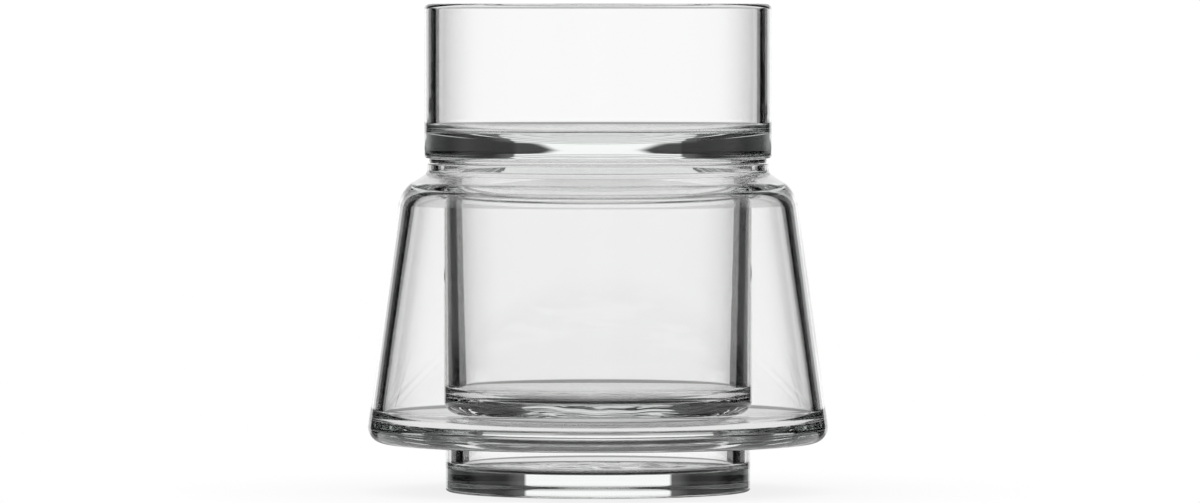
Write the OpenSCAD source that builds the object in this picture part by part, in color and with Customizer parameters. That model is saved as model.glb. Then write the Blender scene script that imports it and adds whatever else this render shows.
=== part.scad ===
// Nested glass set: a skirted outer glass, a cup that hangs in its neck, and a short cup on top.
// Every piece is turned about the Z axis. The origin is the centre of the foot's underside.

/* [Foot] */
// Outside diameter of the foot
foot_d = 61; // [58:0.5:70]
// Height from the table to the underside of the skirt
foot_h = 9.7; // [7:0.1:16]
// Glass under the well in the foot
foot_base_t = 4.5; // [2.5:0.1:6]
// Wall around the well in the foot
foot_wall = 3.4; // [2:0.1:6]
// Round on the foot's lower edge
foot_edge_r = 0.7; // [0.6:0.1:2.4]

/* [Skirt] */
// Diameter where the skirt's side and underside would meet, before the edge is rounded
skirt_d = 93; // [86:0.5:110]
// Height of the skirt's side, from its underside to the shoulder
skirt_h = 50.6; // [40:0.1:70]
// Wall of the skirt, measured across
skirt_wall = 2.4; // [1.4:0.1:3.5]
// Thickness of the skirt's floor
skirt_floor_t = 3.5; // [2:0.1:5]
// Round on the skirt's lower edge
skirt_edge_r = 3.2; // [1.5:0.1:4]

/* [Shoulder and neck] */
// Diameter where the skirt's side meets the shoulder, before the corner is rounded
shoulder_d = 79.1; // [75:0.1:86]
// Rise of the shoulder from the skirt's side to the neck
shoulder_rise = 3.5; // [2:0.1:6]
// Round on the shoulder
shoulder_r = 6.5; // [3.5:0.1:8]
// Wall under the shoulder's slope
shoulder_wall = 2.8; // [1.6:0.1:3.4]
// Outside diameter of the neck
neck_d = 68.4; // [66:0.2:71]
// Height of the neck above the shoulder
neck_h = 1.8; // [1.4:0.1:6]
// Wall of the neck
neck_wall = 2.2; // [1.4:0.1:3]

/* [Inner cup] */
// Clear space all round between the cup and the neck
neck_gap = 1.2; // [0.6:0.1:3]
// Clear space between the cup's base and the skirt's floor
under_gap = 2.2; // [0.6:0.1:6]
// Wall of the cup at its mouth
cup_wall = 2.2; // [1.4:0.1:4]
// Extra wall at the cup's base, the taper that lets the mould draw
cup_draft = 0.9; // [0:0.1:1.6]
// Thickness of the cup's base
cup_base_t = 2.8; // [1.8:0.1:6]
// Round on the cup's lower outside edge
cup_edge_r = 3; // [1:0.1:4]
// Round in the cup's inside corner
cup_corner_r = 3; // [1:0.1:4]
// Thickness of the flange that hangs on the neck
flange_t = 0.8; // [0.7:0.1:2]
// How far the flange's edge stays back from the outside of the neck
flange_inset = 0.4; // [0:0.1:0.6]

/* [Top cup] */
// Outside diameter of the top cup
top_d = 69.5; // [66:0.1:74]
// Height of the top cup
top_h = 30.9; // [20:0.1:60]
// Wall of the top cup
top_wall = 2.3; // [1.4:0.1:3.5]
// Thickness of the base at its heel
top_base_t = 5.2; // [4.6:0.1:8]
// Depth by which the floor is dished towards its middle
floor_dish = 2.3; // [0:0.1:2.4]
// Diameter of the dished part of the floor
dish_d = 52; // [30:1:58]
// Height of the hollow under the base
punt_rise = 1.2; // [0:0.05:1.5]
// Diameter of the hollow under the base
punt_d = 45.2; // [30:0.2:54]
// Round in the top cup's inside corner
top_corner_r = 2; // [1:0.1:3]
// Round on the top cup's heel
heel_r = 0.6; // [0.4:0.1:1.4]

/* [Fits] */
// Film of air between faces that stand on each other
seat_gap = 0.1; // [0:0.05:0.3]
// Small round on edges that have no other
soft_edge_r = 0.3; // [0.1:0.05:0.35]

/* [Hidden] */
$fn = 96;
glass_tint = [0.88, 0.93, 0.93, 0.5];
// Straight pieces in each rounded corner and in each dished or hollowed face
arc_steps = 8;
dish_steps = 10;
// Round where the neck rises out of the shoulder
neck_root_r = 0.8;
// Flat left along the top of the rounded lip
lip_flat = 0.02;
// Rounds in the well's floor and at its mouth
well_corner_r = 1.4;
well_mouth_r = 0.8;
// Round inside the skirt, where its floor turns up into its side
skirt_corner_r = skirt_edge_r - soft_edge_r;

foot_r = foot_d / 2;
well_r = foot_r - foot_wall;
skirt_r = skirt_d / 2;
shoulder_corner_r = shoulder_d / 2;
neck_r = neck_d / 2;
neck_bore_r = neck_r - neck_wall;
skirt_floor_z = foot_h + skirt_floor_t;
shoulder_z = foot_h + skirt_h;
neck_root_z = shoulder_z + shoulder_rise;
neck_top_z = neck_root_z + neck_h;
// Inside of the shoulder
shoulder_slope = shoulder_rise / (shoulder_corner_r - neck_r);
inside_shoulder_r = shoulder_corner_r - skirt_wall;
inside_shoulder_drop = shoulder_wall * sqrt(1 + shoulder_slope * shoulder_slope);
inside_shoulder_z = shoulder_z - inside_shoulder_drop + shoulder_slope * skirt_wall;
inside_neck_z = inside_shoulder_z + shoulder_slope * (inside_shoulder_r - neck_bore_r);
// Side of the skirt: how much it widens for each millimetre down
skirt_flare = (skirt_r - shoulder_corner_r) / skirt_h;
inside_skirt_r = skirt_r - skirt_wall - skirt_flare * skirt_floor_t;

cup_r = neck_bore_r - neck_gap;
cup_mouth_r = cup_r - cup_wall;
cup_floor_r = cup_mouth_r - cup_draft;
cup_base_z = skirt_floor_z + under_gap;
cup_floor_z = cup_base_z + cup_base_t;
flange_r = neck_r - flange_inset;
flange_z = neck_top_z + seat_gap;
cup_top_z = flange_z + flange_t;

top_r = top_d / 2;
top_bore_r = top_r - top_wall;
top_base_z = cup_top_z + seat_gap;
top_floor_z = top_base_z + top_base_t;
top_rim_z = top_base_z + top_h;
lip_r = (top_wall - lip_flat) / 2;

// Unit vector along v
function unit(v) = v / norm(v);

// Vector v turned by an angle
function turned(v, angle) = [v.x * cos(angle) - v.y * sin(angle), v.x * sin(angle) + v.y * cos(angle)];

// Points of the arc that rounds one corner and touches both its sides
function corner_arc(before, here, after, r) =
    let (a = unit(before - here))
    let (b = unit(after - here))
    let (half = acos(a * b) / 2)
    let (centre = here + unit(a + b) * r / sin(half))
    let (start = here + a * r / tan(half) - centre)
    let (sweep = cross(a, b) < 0 ? 180 - 2 * half : 2 * half - 180)
    [for (k = [0 : arc_steps]) centre + turned(start, sweep * k / arc_steps)];

// Outline of corners [radius, height, rounding], each rounded where its rounding is above zero
function rounded(corners) =
    let (n = len(corners))
    let (points = [for (c = corners) [c[0], c[1]]])
    [for (i = [0 : n - 1])
        each corners[i][2] > 0
            ? corner_arc(points[(i + n - 1) % n], points[i], points[(i + 1) % n], corners[i][2])
            : [points[i]]];

// Corners of a dished or hollowed face, from the axis out, rising by rise from middle to edge
function dish(r, middle_z, rise) =
    [for (k = [0 : dish_steps]) [r * k / dish_steps, middle_z + rise * pow(k / dish_steps, 2), 0]];

function reversed(list) = [for (i = [len(list) - 1 : -1 : 0]) list[i]];

// Solid turned about the Z axis from a rounded outline
module turned_glass(corners) {
    color(glass_tint)
        rotate_extrude()
            polygon(rounded(corners));
}

// Skirted glass with its foot, shoulder and neck
module outer_glass() {
    turned_glass([
        [0, 0, 0],
        [foot_r, 0, foot_edge_r],
        [foot_r, foot_h, soft_edge_r],
        [skirt_r, foot_h, skirt_edge_r],
        [shoulder_corner_r, shoulder_z, shoulder_r],
        [neck_r, neck_root_z, neck_root_r],
        [neck_r, neck_top_z, soft_edge_r],
        [neck_bore_r, neck_top_z, soft_edge_r],
        [neck_bore_r, inside_neck_z, neck_root_r],
        [inside_shoulder_r, inside_shoulder_z, shoulder_r - shoulder_wall],
        [inside_skirt_r, skirt_floor_z, skirt_corner_r],
        [well_r, skirt_floor_z, well_mouth_r],
        [well_r, foot_base_t, well_corner_r],
        [0, foot_base_t, 0]
    ]);
}

// Straight cup that hangs in the neck by its flange
module inner_cup() {
    turned_glass([
        [0, cup_base_z, 0],
        [cup_r, cup_base_z, cup_edge_r],
        [cup_r, flange_z, soft_edge_r],
        [flange_r, flange_z, soft_edge_r],
        [flange_r, cup_top_z, soft_edge_r],
        [cup_mouth_r, cup_top_z, soft_edge_r],
        [cup_floor_r, cup_floor_z, cup_corner_r],
        [0, cup_floor_z, 0]
    ]);
}

// Short wide cup that stands on the flange
module top_cup() {
    hollow = dish(punt_d / 2, top_base_z + punt_rise, -punt_rise);
    floor_points = dish(dish_d / 2, top_floor_z - floor_dish, floor_dish);
    turned_glass(concat(
        hollow,
        [
            [top_r, top_base_z, heel_r],
            [top_r, top_rim_z, lip_r],
            [top_bore_r, top_rim_z, lip_r],
            [top_bore_r, top_floor_z, top_corner_r]
        ],
        reversed(floor_points)
    ));
}

outer_glass();
inner_cup();
top_cup();
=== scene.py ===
import math

import bmesh
import bpy
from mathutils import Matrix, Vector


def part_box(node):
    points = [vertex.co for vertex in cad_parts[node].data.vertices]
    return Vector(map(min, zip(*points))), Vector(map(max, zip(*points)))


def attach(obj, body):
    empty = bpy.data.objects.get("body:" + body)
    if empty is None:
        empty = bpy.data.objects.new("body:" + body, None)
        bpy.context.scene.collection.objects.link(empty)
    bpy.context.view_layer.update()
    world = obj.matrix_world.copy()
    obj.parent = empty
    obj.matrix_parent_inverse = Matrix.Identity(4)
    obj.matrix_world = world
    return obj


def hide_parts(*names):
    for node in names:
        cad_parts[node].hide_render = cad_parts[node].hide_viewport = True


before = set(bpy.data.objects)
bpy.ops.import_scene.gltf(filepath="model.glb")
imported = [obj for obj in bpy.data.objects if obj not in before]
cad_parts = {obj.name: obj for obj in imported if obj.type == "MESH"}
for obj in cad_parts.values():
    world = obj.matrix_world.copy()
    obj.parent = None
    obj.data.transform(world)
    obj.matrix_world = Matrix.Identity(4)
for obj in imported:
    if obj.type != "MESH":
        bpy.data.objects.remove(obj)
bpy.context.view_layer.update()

# Sizes of the glass, in metres, as the solids have them
MM = 0.001
SOFT_EDGE_R = 0.3 * MM
# Foot, with the well in it
FOOT_R = 30.5 * MM
FOOT_H = 9.7 * MM
FOOT_BASE_T = 4.5 * MM
FOOT_WALL = 3.4 * MM
FOOT_EDGE_R = 0.7 * MM
WELL_R = FOOT_R - FOOT_WALL
WELL_CORNER_R = 1.4 * MM
WELL_MOUTH_R = 0.8 * MM
# Skirt
SKIRT_R = 46.5 * MM
SKIRT_WALL = 2.4 * MM
SKIRT_FLOOR_T = 3.5 * MM
SKIRT_FLOOR_Z = FOOT_H + SKIRT_FLOOR_T
SKIRT_EDGE_R = 3.2 * MM
# Shoulder and neck
SHOULDER_CORNER_R = 39.55 * MM
SHOULDER_Z = 60.3 * MM
SHOULDER_RISE = 3.5 * MM
SHOULDER_R = 6.5 * MM
SHOULDER_WALL = 2.8 * MM
NECK_R = 34.2 * MM
NECK_WALL = 2.2 * MM
NECK_ROOT_R = 0.8 * MM
NECK_TOP_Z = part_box("outer_glass")[1][2]
# Inner cup, with the flange at its mouth
CUP_BASE_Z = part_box("inner_cup")[0][2]
CUP_TOP_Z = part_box("inner_cup")[1][2]
CUP_R = 30.8 * MM
CUP_WALL = 2.2 * MM
CUP_DRAFT = 0.9 * MM
CUP_BASE_T = 2.8 * MM
CUP_FLOOR_Z = CUP_BASE_Z + CUP_BASE_T
CUP_EDGE_R = 3 * MM
CUP_CORNER_R = 3 * MM
FLANGE_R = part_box("inner_cup")[1][0]
FLANGE_T = 0.8 * MM
# Top cup, with its dished floor and the hollow under its base
TOP_BASE_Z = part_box("top_cup")[0][2]
TOP_RIM_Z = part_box("top_cup")[1][2]
TOP_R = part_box("top_cup")[1][0]
TOP_WALL = 2.3 * MM
TOP_FLOOR_Z = 71.8 * MM
TOP_CORNER_R = 2 * MM
FLOOR_DISH = 2.3 * MM
DISH_R = 26 * MM
PUNT_RISE = 1.2 * MM
PUNT_R = 22.6 * MM
HEEL_R = 0.6 * MM
# Slow waves in the floors of the well and of the inner cup, and the power by which they fade outwards
WAVE_HEIGHT = 1.4 * MM
WAVE_LENGTH = 11 * MM
WAVE_FADE = 4

# Fineness of the turned meshes
TURN_STEPS = 224
ROUND_STEPS = 10
DISH_STEPS = 24
SAME_PLACE = 0.002 * MM
LARGE_FACE_WEIGHT = 100


def select_ring(radius, height):
    """Select the ring of edges that lies at one radius and height."""
    mesh = bmesh.from_edit_mesh(bpy.context.object.data)
    bpy.ops.mesh.select_all(action="DESELECT")
    for edge in mesh.edges:
        on_ring = all(
            abs(v.co.xy.length - radius) < SAME_PLACE and abs(v.co.z - height) < SAME_PLACE
            for v in edge.verts
        )
        edge.select_set(on_ring)
    bmesh.update_edit_mesh(bpy.context.object.data)


def corner_cut(before, here, after, rounding):
    """How far from a corner an arc of this radius starts."""
    a = math.atan2(before[1] - here[1], before[0] - here[0])
    b = math.atan2(after[1] - here[1], after[0] - here[0])
    turn = abs(a - b) % (2 * math.pi)
    corner = min(turn, 2 * math.pi - turn)
    return rounding / math.tan(corner / 2)


def turned_glass(name, corners):
    """Turn a closed glass from corners (radius, height, rounding).

    The corners run from the middle of the underside up the outside, over the lip and down the inside
    to the middle of the floor. A disc is extruded ring by ring along them, and the rings are then
    bevelled to their rounds.
    """
    bpy.ops.object.select_all(action="DESELECT")
    start_z = corners[0][1]
    first = corners[1]
    bpy.ops.mesh.primitive_circle_add(
        vertices=TURN_STEPS, radius=first[0], fill_type="TRIFAN", location=(0, 0, start_z))
    glass = bpy.context.object
    glass.name = name
    bpy.ops.object.transform_apply(location=True, rotation=True, scale=True)
    bpy.ops.object.mode_set(mode="EDIT")
    bpy.ops.mesh.select_mode(type="EDGE")
    select_ring(first[0], start_z)
    bpy.ops.transform.translate(value=(0, 0, first[1] - start_z))
    last = first
    for corner in corners[2:-1]:
        bpy.ops.mesh.extrude_edges_move()
        grow = corner[0] / last[0]
        bpy.ops.transform.resize(value=(grow, grow, 1), center_override=(0, 0, 0))
        bpy.ops.transform.translate(value=(0, 0, corner[1] - last[1]))
        last = corner
    bpy.ops.mesh.extrude_edges_move()
    bpy.ops.mesh.merge(type="CENTER")
    bpy.ops.transform.translate(value=(0, 0, corners[-1][1] - last[1]))
    for before, here, after in zip(corners, corners[1:], corners[2:]):
        if here[2] > 0:
            select_ring(here[0], here[1])
            bpy.ops.mesh.bevel(
                offset=corner_cut(before, here, after, here[2]), offset_type="OFFSET",
                segments=ROUND_STEPS, profile=0.5, affect="EDGES")
    bpy.ops.mesh.select_all(action="SELECT")
    bpy.ops.mesh.remove_doubles(threshold=SAME_PLACE)
    bpy.ops.mesh.normals_make_consistent(inside=False)
    bpy.ops.object.mode_set(mode="OBJECT")
    bpy.ops.object.shade_smooth()
    return glass


def even_shading(glass):
    """Let the large faces lead the shading of their rounded edges."""
    even = glass.modifiers.new("even_shading", "WEIGHTED_NORMAL")
    even.mode = "FACE_AREA"
    even.weight = LARGE_FACE_WEIGHT
    bpy.ops.object.modifier_apply(modifier=even.name)


def press_waves(glass, level, radius):
    """Give the floor at one height the slow waves of pressed glass, fading out at a radius."""
    group = glass.vertex_groups.new(name="waves")
    for vertex in glass.data.vertices:
        share = vertex.co.xy.length / radius
        if abs(vertex.co.z - level) < SAME_PLACE and share < 1:
            group.add([vertex.index], 1 - share ** WAVE_FADE, "REPLACE")
    waves = bpy.data.textures.new(glass.name + "_waves", "CLOUDS")
    waves.noise_scale = WAVE_LENGTH
    waves.noise_depth = 1
    press = glass.modifiers.new("pressed_waves", "DISPLACE")
    press.texture = waves
    press.texture_coords = "LOCAL"
    press.direction = "Z"
    press.strength = WAVE_HEIGHT
    press.mid_level = 0.5
    press.vertex_group = group.name
    bpy.ops.object.modifier_apply(modifier=press.name)
    glass.vertex_groups.clear()


def dish(radius, middle, rise):
    """Corners of a dished face from the axis out, rising by rise from its middle to its edge."""
    shares = [k / DISH_STEPS for k in range(DISH_STEPS + 1)]
    return [(radius * s, middle + rise * s * s, 0) for s in shares]


def outer_glass():
    """Skirted glass with its foot, shoulder and neck."""
    neck_bore_r = NECK_R - NECK_WALL
    slope = SHOULDER_RISE / (SHOULDER_CORNER_R - NECK_R)
    under_r = SHOULDER_CORNER_R - SKIRT_WALL
    under_z = SHOULDER_Z - SHOULDER_WALL * math.sqrt(1 + slope * slope) + slope * SKIRT_WALL
    neck_under_z = under_z + slope * (under_r - neck_bore_r)
    flare = (SKIRT_R - SHOULDER_CORNER_R) / (SHOULDER_Z - FOOT_H)
    inside_skirt_r = SKIRT_R - SKIRT_WALL - flare * (SKIRT_FLOOR_Z - FOOT_H)
    well_floor_r = WELL_R - WELL_CORNER_R
    glass = turned_glass("outer_glass_clear", [
        (0, 0, 0),
        (FOOT_R, 0, FOOT_EDGE_R),
        (FOOT_R, FOOT_H, SOFT_EDGE_R),
        (SKIRT_R, FOOT_H, SKIRT_EDGE_R),
        (SHOULDER_CORNER_R, SHOULDER_Z, SHOULDER_R),
        (NECK_R, SHOULDER_Z + SHOULDER_RISE, NECK_ROOT_R),
        (NECK_R, NECK_TOP_Z, SOFT_EDGE_R),
        (neck_bore_r, NECK_TOP_Z, SOFT_EDGE_R),
        (neck_bore_r, neck_under_z, NECK_ROOT_R),
        (under_r, under_z, SHOULDER_R - SHOULDER_WALL),
        (inside_skirt_r, SKIRT_FLOOR_Z, SKIRT_EDGE_R - SOFT_EDGE_R),
        (WELL_R, SKIRT_FLOOR_Z, WELL_MOUTH_R),
        (WELL_R, FOOT_BASE_T, WELL_CORNER_R),
    ] + dish(well_floor_r - SOFT_EDGE_R, FOOT_BASE_T, 0)[::-1])
    press_waves(glass, FOOT_BASE_T, well_floor_r)
    return glass


def inner_cup():
    """Straight cup that hangs in the neck by its flange."""
    mouth_r = CUP_R - CUP_WALL
    flange_z = CUP_TOP_Z - FLANGE_T
    floor_r = mouth_r - CUP_DRAFT - CUP_CORNER_R - SOFT_EDGE_R
    glass = turned_glass("inner_cup_clear", [
        (0, CUP_BASE_Z, 0),
        (CUP_R, CUP_BASE_Z, CUP_EDGE_R),
        (CUP_R, flange_z, SOFT_EDGE_R),
        (FLANGE_R, flange_z, SOFT_EDGE_R),
        (FLANGE_R, CUP_TOP_Z, SOFT_EDGE_R),
        (mouth_r, CUP_TOP_Z, SOFT_EDGE_R),
        (mouth_r - CUP_DRAFT, CUP_FLOOR_Z, CUP_CORNER_R),
    ] + dish(floor_r, CUP_FLOOR_Z, 0)[::-1])
    press_waves(glass, CUP_FLOOR_Z, floor_r)
    return glass


def top_cup():
    """Short wide cup that stands on the flange."""
    bore_r = TOP_R - TOP_WALL
    hollow = dish(PUNT_R, TOP_BASE_Z + PUNT_RISE, -PUNT_RISE)
    floor = dish(DISH_R, TOP_FLOOR_Z - FLOOR_DISH, FLOOR_DISH)
    lip_r = TOP_WALL / 2 - SAME_PLACE
    return turned_glass("top_cup_clear", hollow + [
        (TOP_R, TOP_BASE_Z, HEEL_R),
        (TOP_R, TOP_RIM_Z, lip_r),
        (bore_r, TOP_RIM_Z, lip_r),
        (bore_r, TOP_FLOOR_Z, TOP_CORNER_R),
    ] + floor[::-1])


# Finish of the glass
GLASS_IOR = 1.5
WAVES_PER_METRE = 60
WAVE_DEPTH = 0.012 * MM
TOP_WAVE_DEPTH = 0.004 * MM
DEPTH_TINT = (0.8, 0.88, 0.83)
DEPTH_DENSITY = 5


def clear_glass(name, wave_depth):
    """Clear glass, polished by fire, with the faint waves that leaves and a breath of green in its depth."""
    material = bpy.data.materials.new(name)
    material.use_nodes = True
    nodes = material.node_tree.nodes
    links = material.node_tree.links
    shader = nodes["Principled BSDF"]
    shader.inputs["Base Color"].default_value = (1, 1, 1, 1)
    shader.inputs["Roughness"].default_value = 0
    shader.inputs["IOR"].default_value = GLASS_IOR
    shader.inputs["Transmission Weight"].default_value = 1
    place = nodes.new("ShaderNodeTexCoord")
    waves = nodes.new("ShaderNodeTexNoise")
    waves.inputs["Scale"].default_value = WAVES_PER_METRE
    waves.inputs["Detail"].default_value = 1
    links.new(place.outputs["Object"], waves.inputs["Vector"])
    uneven = nodes.new("ShaderNodeBump")
    uneven.inputs["Strength"].default_value = 1
    uneven.inputs["Distance"].default_value = wave_depth
    links.new(waves.outputs["Fac"], uneven.inputs["Height"])
    links.new(uneven.outputs["Normal"], shader.inputs["Normal"])
    depth = nodes.new("ShaderNodeVolumeAbsorption")
    depth.inputs["Color"].default_value = (*DEPTH_TINT, 1)
    depth.inputs["Density"].default_value = DEPTH_DENSITY
    links.new(depth.outputs[0], nodes["Material Output"].inputs["Volume"])
    return material


def dress(piece, node, wave_depth):
    """Give a piece its finish and let it stand for its solid."""
    even_shading(piece)
    piece.data.materials.append(clear_glass(node + "_glass", wave_depth))
    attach(piece, node)
    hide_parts(node)


dress(outer_glass(), "outer_glass", WAVE_DEPTH)
dress(inner_cup(), "inner_cup", WAVE_DEPTH)
dress(top_cup(), "top_cup", TOP_WAVE_DEPTH)

# Floor, in metres: white, with a painted shade where the glass stands close above it
FLOOR_HALF_W = 2
FLOOR_NEAR = -0.6
FLOOR_FAR = 1.5
FLOOR_Z = -0.1 * MM
SHADE_REACH = 50 * MM
SHADE_SHARE = 0.16
# Seen through the glass, the floor ends here and the ground of the world goes on
GLASS_FLOOR_R = 33 * MM


def pale_floor():
    """Floor that the camera sees as white with a faint painted shade, and that shows through the glass only
    under the foot, with its full painted shade.
    """
    material = bpy.data.materials.new("pale_floor")
    material.use_nodes = True
    nodes = material.node_tree.nodes
    links = material.node_tree.links
    nodes.clear()
    shade = nodes.new("ShaderNodeAmbientOcclusion")
    shade.inputs["Distance"].default_value = SHADE_REACH
    # The open floor, with a light painted shade from ambient occlusion
    shaded = nodes.new("ShaderNodeMapRange")
    shaded.inputs["To Min"].default_value = 1 - SHADE_SHARE
    links.new(shade.outputs["AO"], shaded.inputs["Value"])
    open_floor = nodes.new("ShaderNodeEmission")
    links.new(shaded.outputs[0], open_floor.inputs["Strength"])
    # The floor through the glass, with its full painted shade from ambient occlusion, and nothing past its
    # end
    under_foot = nodes.new("ShaderNodeEmission")
    links.new(shade.outputs["AO"], under_foot.inputs["Strength"])
    past_foot = nodes.new("ShaderNodeBsdfTransparent")
    place = nodes.new("ShaderNodeTexCoord")
    reach = nodes.new("ShaderNodeVectorMath")
    reach.operation = "LENGTH"
    links.new(place.outputs["Object"], reach.inputs[0])
    beyond = nodes.new("ShaderNodeMath")
    beyond.operation = "GREATER_THAN"
    beyond.inputs[1].default_value = GLASS_FLOOR_R
    links.new(reach.outputs["Value"], beyond.inputs[0])
    through_glass = nodes.new("ShaderNodeMixShader")
    links.new(beyond.outputs[0], through_glass.inputs["Fac"])
    links.new(under_foot.outputs[0], through_glass.inputs[1])
    links.new(past_foot.outputs[0], through_glass.inputs[2])
    # The camera sees the open floor, and all other rays the one through the glass
    path = nodes.new("ShaderNodeLightPath")
    seen = nodes.new("ShaderNodeMixShader")
    links.new(path.outputs["Is Camera Ray"], seen.inputs["Fac"])
    links.new(through_glass.outputs[0], seen.inputs[1])
    links.new(open_floor.outputs[0], seen.inputs[2])
    out = nodes.new("ShaderNodeOutputMaterial")
    links.new(seen.outputs[0], out.inputs["Surface"])
    return material


bpy.ops.object.select_all(action="DESELECT")
bpy.ops.mesh.primitive_plane_add(size=1, location=(0, (FLOOR_NEAR + FLOOR_FAR) / 2, FLOOR_Z))
table = bpy.context.object
table.name = "floor"
table.scale = (2 * FLOOR_HALF_W, FLOOR_FAR - FLOOR_NEAR, 1)
bpy.ops.object.transform_apply(location=True, rotation=True, scale=True)
table.data.materials.append(pale_floor())

# The world, by angles around from the middle of the backdrop and upward from level.
# Backdrop: white behind the glass, dimmer above and below
BACKDROP_HALF_ANGLE = math.radians(19.5)
BACKDROP_SOFT = math.radians(0.7)
BACKDROP_LEVEL = 1.02
BACKDROP_FADE_START = math.radians(4.5)
BACKDROP_FADE_END = math.radians(8)
BACKDROP_TOP_SHARE = 0.7
BACKDROP_FOOT_START = math.radians(-5)
BACKDROP_FOOT_END = math.radians(-8)
BACKDROP_FOOT_SHARE = 0.35
# Margin: grey beside the backdrop, falling to the dark
MARGIN_LEVEL = 0.1
MARGIN_WIDTH = math.radians(8)
DARK_LEVEL = 0.002
# Horizon: a thin dark line, which tapers to a point on each side of the middle
HORIZON_ANGLE = math.radians(-0.925)
HORIZON_HALF_HEIGHT = math.radians(0.055)
HORIZON_SOFT = math.radians(0.02)
HORIZON_START = math.radians(5.5)
HORIZON_FULL = math.radians(17)
HORIZON_SHARE = 0.97
# Ground: pale below, reaching higher at the sides and back
GROUND_LEVEL = 0.85
GROUND_ANGLE = math.radians(-14)
GROUND_SOFT = math.radians(2.5)
GROUND_RISE = math.radians(7.5)
GROUND_RISE_START = math.radians(22)
GROUND_RISE_END = math.radians(40)
# Room: dim at the sides and back, about level
ROOM_LEVEL = 0.55
ROOM_START = math.radians(62)
ROOM_FULL = math.radians(84)
ROOM_HALF_HEIGHT = math.radians(5)
ROOM_FADE_END = math.radians(9)

scene = bpy.context.scene
world = bpy.data.worlds.new("studio")
scene.world = world
world.use_nodes = True
world_nodes = world.node_tree.nodes
world_links = world.node_tree.links
background = world_nodes["Background"]
background.inputs["Color"].default_value = (1, 1, 1, 1)


def world_math(operation, *values):
    """A math node of the world with numbers or sockets as its inputs."""
    step = world_nodes.new("ShaderNodeMath")
    step.operation = operation
    for place, value in enumerate(values):
        if isinstance(value, (int, float)):
            step.inputs[place].default_value = value
        else:
            world_links.new(value, step.inputs[place])
    return step.outputs[0]


def world_ramp(value, start, end, first, last):
    """From the first level below start, smoothly to the last level past end."""
    ramp = world_nodes.new("ShaderNodeMapRange")
    ramp.interpolation_type = "SMOOTHSTEP"
    ramp.inputs["From Min"].default_value = start
    ramp.inputs["From Max"].default_value = end
    ramp.inputs["To Min"].default_value = first
    ramp.inputs["To Max"].default_value = last
    world_links.new(value, ramp.inputs["Value"])
    return ramp.outputs[0]


def soft_edge(angle, softness):
    """Where a soft edge at this angle starts and ends."""
    return angle - softness, angle + softness


direction = world_nodes.new("ShaderNodeTexCoord")
axes = world_nodes.new("ShaderNodeSeparateXYZ")
world_links.new(direction.outputs["Generated"], axes.inputs[0])
around = world_math("ARCTAN2", world_math("ABSOLUTE", axes.outputs["X"]), axes.outputs["Y"])
upward = world_math("ARCSINE", axes.outputs["Z"])

# The fade upwards is eased twice, so most of it falls in the middle of its range
higher = world_ramp(upward, BACKDROP_FADE_START, BACKDROP_FADE_END, 0, 1)
fade_above = world_ramp(higher, 0, 1, 1, BACKDROP_TOP_SHARE)
fade_below = world_ramp(upward, BACKDROP_FOOT_END, BACKDROP_FOOT_START, BACKDROP_FOOT_SHARE, 1)
across = world_ramp(around, *soft_edge(BACKDROP_HALF_ANGLE, BACKDROP_SOFT), BACKDROP_LEVEL, 0)
backdrop = world_math("MULTIPLY", across, world_math("MULTIPLY", fade_above, fade_below))

margin_end = BACKDROP_HALF_ANGLE + MARGIN_WIDTH
margin = world_ramp(around, BACKDROP_HALF_ANGLE, margin_end, MARGIN_LEVEL, DARK_LEVEL)

off_horizon = world_math("ABSOLUTE", world_math("SUBTRACT", upward, HORIZON_ANGLE))
horizon_height = world_ramp(around, HORIZON_START, HORIZON_FULL, -HORIZON_SOFT, HORIZON_HALF_HEIGHT)
past_horizon = world_math("SUBTRACT", off_horizon, horizon_height)
horizon = world_ramp(past_horizon, *soft_edge(0, HORIZON_SOFT), HORIZON_SHARE, 0)

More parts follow.
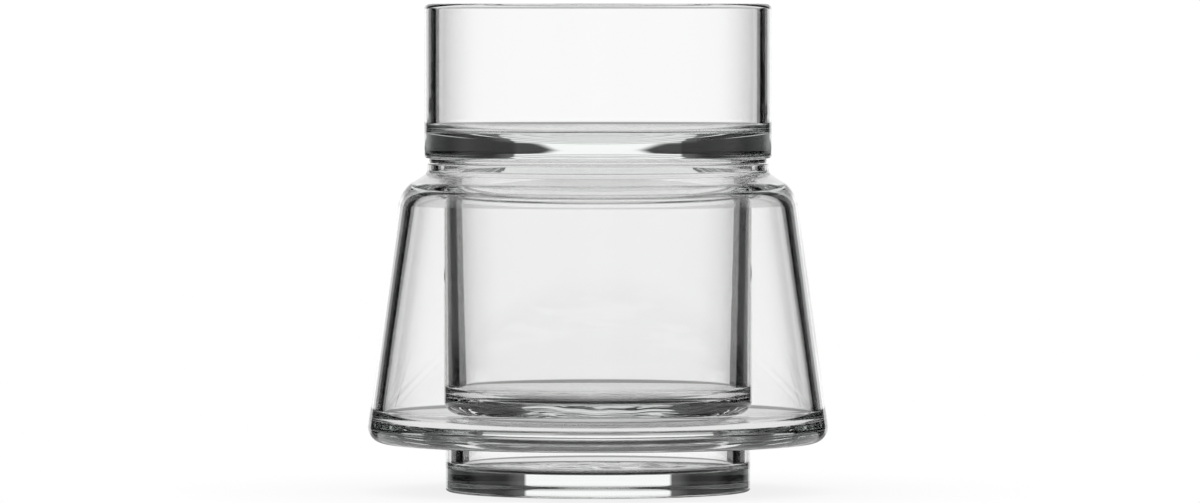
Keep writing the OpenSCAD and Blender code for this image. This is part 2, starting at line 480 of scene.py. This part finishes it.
ground_rise = world_ramp(around, GROUND_RISE_START, GROUND_RISE_END, 0, GROUND_RISE)
above_ground = world_math("SUBTRACT", upward, ground_rise)
ground = world_ramp(above_ground, *soft_edge(GROUND_ANGLE, GROUND_SOFT), GROUND_LEVEL, 0)

room_around = world_ramp(around, ROOM_START, ROOM_FULL, 0, ROOM_LEVEL)
room_share = world_ramp(world_math("ABSOLUTE", upward), ROOM_HALF_HEIGHT, ROOM_FADE_END, 1, 0)
room = world_math("MULTIPLY", room_around, room_share)

behind = world_math(
    "MULTIPLY", world_math("MAXIMUM", backdrop, margin), world_math("SUBTRACT", 1, horizon))
bright = world_math("MAXIMUM", behind, world_math("MAXIMUM", ground, room))
# The camera itself sees plain white past the glass
path = world_nodes.new("ShaderNodeLightPath")
strength = world_math("MAXIMUM", bright, path.outputs["Is Camera Ray"])
world_links.new(strength, background.inputs["Strength"])

# Camera: far away and as high as the rim, tipped down a little
PHOTO_W = 1200
PHOTO_H = 503
PIXEL = 0.2 * MM
EYE_ROW = 3.6
EYE_DISTANCE_PX = 8950
AXIS_COLUMN = 598
SENSOR_WIDTH = 36
NEAREST_SEEN = 0.01
camera_data = bpy.data.cameras.new("camera")
camera = bpy.data.objects.new("camera", camera_data)
bpy.context.collection.objects.link(camera)
camera_data.sensor_width = SENSOR_WIDTH
camera_data.lens = SENSOR_WIDTH * EYE_DISTANCE_PX / PHOTO_W
camera_data.clip_start = NEAREST_SEEN
camera.location = ((PHOTO_W / 2 - AXIS_COLUMN) * PIXEL, -EYE_DISTANCE_PX * PIXEL, TOP_RIM_Z)
camera.rotation_euler = (math.pi / 2 - math.atan((PHOTO_H / 2 - EYE_ROW) / EYE_DISTANCE_PX), 0, 0)
scene.camera = camera

# Light passes through many walls of glass, one after the other
GLASS_BOUNCES = 32
GLOSSY_BOUNCES = 16
scene.view_settings.view_transform = "Standard"
scene.cycles.max_bounces = GLASS_BOUNCES
scene.cycles.transmission_bounces = GLASS_BOUNCES
scene.cycles.glossy_bounces = GLOSSY_BOUNCES
